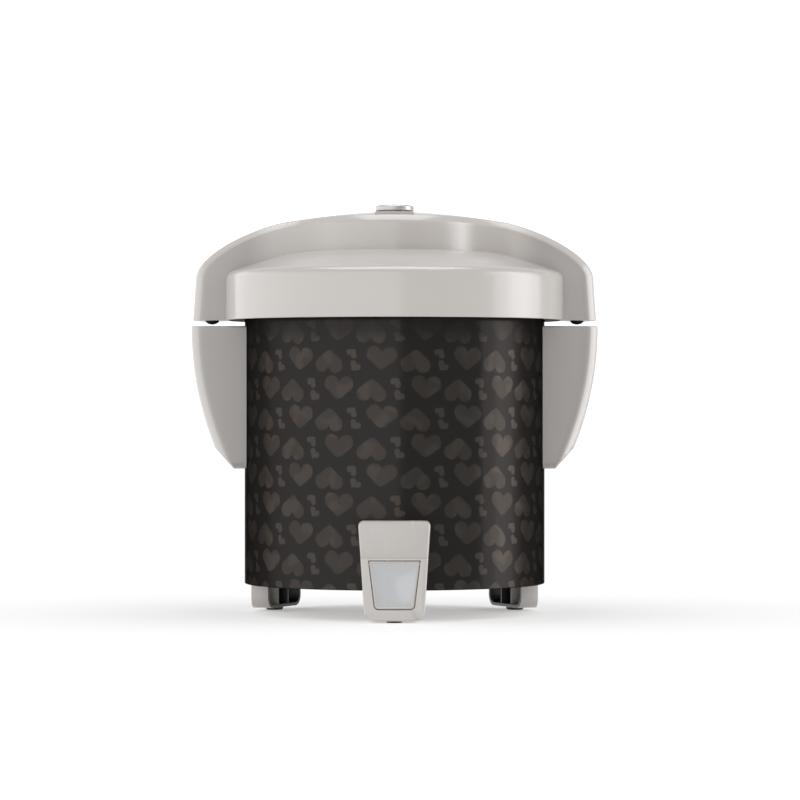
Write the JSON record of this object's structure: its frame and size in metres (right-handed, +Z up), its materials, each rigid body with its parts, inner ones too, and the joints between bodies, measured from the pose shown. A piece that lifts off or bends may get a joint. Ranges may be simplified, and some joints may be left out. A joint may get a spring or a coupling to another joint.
{
  "type": "rice cooker",
  "caption": "Round rice cooker with a heart-printed dark body, an arched grey lid with wings over side handles, a cook paddle in the front foot and two rear legs.",
  "frame": {"origin": "on the table, under the middle of the round body", "axes": "+Z up, front towards -Y, +X to the right when facing the front"},
  "size_m": [0.3252, 0.2724, 0.3268],
  "materials": {
    "grey_plastic": "satin",
    "switch_top_plastic": "satin",
    "inner_plastic": "matte",
    "button_plastic": "satin",
    "printed_steel": "satin, printed with a dark heart pattern",
    "dark_plastic": "matte",
    "rubber_black": "matte",
    "silicone": "satin",
    "paddle_plastic": "satin, faintly translucent",
    "clear_plastic": "clear",
    "lamp_red": "clear tinted",
    "lamp_amber": "clear tinted",
    "circuit_board": "satin",
    "cast_aluminium": "cast, machined on top",
    "pot_aluminium": "satin",
    "sheet_aluminium": "satin",
    "sheet_steel": "brushed",
    "pin_steel": "polished",
    "spring_steel": "drawn wire",
    "heater_sheath": "heat-darkened",
    "ferrite": "matte",
    "magnet": "satin",
    "mica": "mica sheet",
    "glass_wool": "fibrous",
    "white_ceramic": "glazed",
    "brass": "plated",
    "wire_sleeve": "satin",
    "polished_metal": "polished"
  },
  "bodies": {
    "base": {"body_shell": "printed_steel", "base_pan": "inner_plastic", "inner_liner": "sheet_steel", "top_ring": "dark_plastic", "catch_plate": "sheet_steel", "hinge_pin": "pin_steel", "hinge_spring": "spring_steel", "left_handle": "grey_plastic", "right_handle": "grey_plastic", "handle_screws": "pin_steel", "rear_left_leg": "grey_plastic", "rear_right_leg": "grey_plastic", "leg_screws": "pin_steel", "rear_left_pad": "rubber_black", "rear_right_pad": "rubber_black", "front_pad": "rubber_black", "switch_housing": "switch_top_plastic", "switch_cover": "grey_plastic", "paddle_pin": "pin_steel", "lamp_board": "circuit_board", "cook_lamp": "lamp_red", "warm_lamp": "lamp_amber", "heating_plate": "cast_aluminium", "heater_element": "heater_sheath", "plate_screws": "pin_steel", "thermostat_housing": "sheet_steel", "sensor_spring": "spring_steel", "magnet_spring": "spring_steel", "lever_bracket": "sheet_steel", "lever_pin": "pin_steel", "microswitch": "dark_plastic", "thermal_fuse": "white_ceramic", "terminal_block": "white_ceramic", "keep_warm_band": "mica", "power_inlet": "dark_plastic", "inlet_pins": "brass", "wiring": "wire_sleeve", "inner_pot": "pot_aluminium", "dew_bracket": "dark_plastic"},
    "lid": {"lid_cover": "grey_plastic", "lid_bridge": "grey_plastic", "wing_bumpers": "rubber_black", "lid_liner": "inner_plastic", "inner_lid_plate": "sheet_aluminium", "lid_gasket": "silicone", "steam_tube": "inner_plastic", "lid_insulation": "glass_wool", "button_spring": "spring_steel", "latch_pin": "pin_steel", "lid_screws": "pin_steel"},
    "paddle": {"cook_paddle": "paddle_plastic"},
    "lever": {"seesaw_lever": "sheet_steel"},
    "plunger": {"magnet_plunger": "magnet"},
    "sensor": {"sensor_cap": "sheet_aluminium", "thermal_ferrite": "ferrite"},
    "dew_cup": {"dew_collector": "clear_plastic"},
    "cap": {"steam_cap": "polished_metal"},
    "button": {"open_button": "button_plastic"},
    "latch": {"latch_hook": "sheet_steel"}
  },
  "joints": [
    {"name": "lid_hinge", "type": "hinge", "parent": "base", "child": "lid", "pos_m": [0, 0.127, 0.236], "axis": [-1, 0, 0], "range_deg": [0, 85]},
    {"name": "open_button_press", "type": "slide", "parent": "lid", "child": "button", "axis": [0, 0, -1], "range_m": [0, 0.0045], "stiffness_N_per_m": 400, "deforming": ["button_spring"]},
    {"name": "latch_turn", "type": "hinge", "parent": "lid", "child": "latch", "pos_m": [0, -0.116, 0.262], "axis": [-1, 0, 0], "range_deg": [0, 4.2]},
    {"name": "steam_cap_lift", "type": "slide", "parent": "lid", "child": "cap", "axis": [0, 0, 1], "range_m": [0, 0.03]},
    {"name": "cook_paddle_press", "type": "hinge", "parent": "base", "child": "paddle", "pos_m": [0, -0.1293, 0.0445], "axis": [1, 0, 0], "range_deg": [0, 10], "stiffness_Nm_per_rad": 0.6},
    {"name": "lever_tilt", "type": "hinge", "parent": "base", "child": "lever", "pos_m": [0, -0.06, 0.0515], "axis": [1, 0, 0], "range_deg": [0, 5.4]},
    {"name": "magnet_lift", "type": "slide", "parent": "base", "child": "plunger", "axis": [0, 0, 1], "range_m": [0, 0.0056], "deforming": ["magnet_spring"]},
    {"name": "sensor_press", "type": "slide", "parent": "base", "child": "sensor", "axis": [0, 0, -1], "range_m": [0, 0.002], "stiffness_N_per_m": 1200, "deforming": ["sensor_spring"]},
    {"name": "dew_collector_pull", "type": "slide", "parent": "base", "child": "dew_cup", "axis": [0, 1, 0], "range_m": [0, 0.04]}
  ],
  "couplings": [
    {"joint": "latch_turn", "follows": "open_button_press", "rad_per_m": 15.15},
    {"joint": "lever_tilt", "follows": "cook_paddle_press", "ratio": 0.53},
    {"joint": "magnet_lift", "follows": "cook_paddle_press", "m_per_rad": 0.0315}
  ]
}
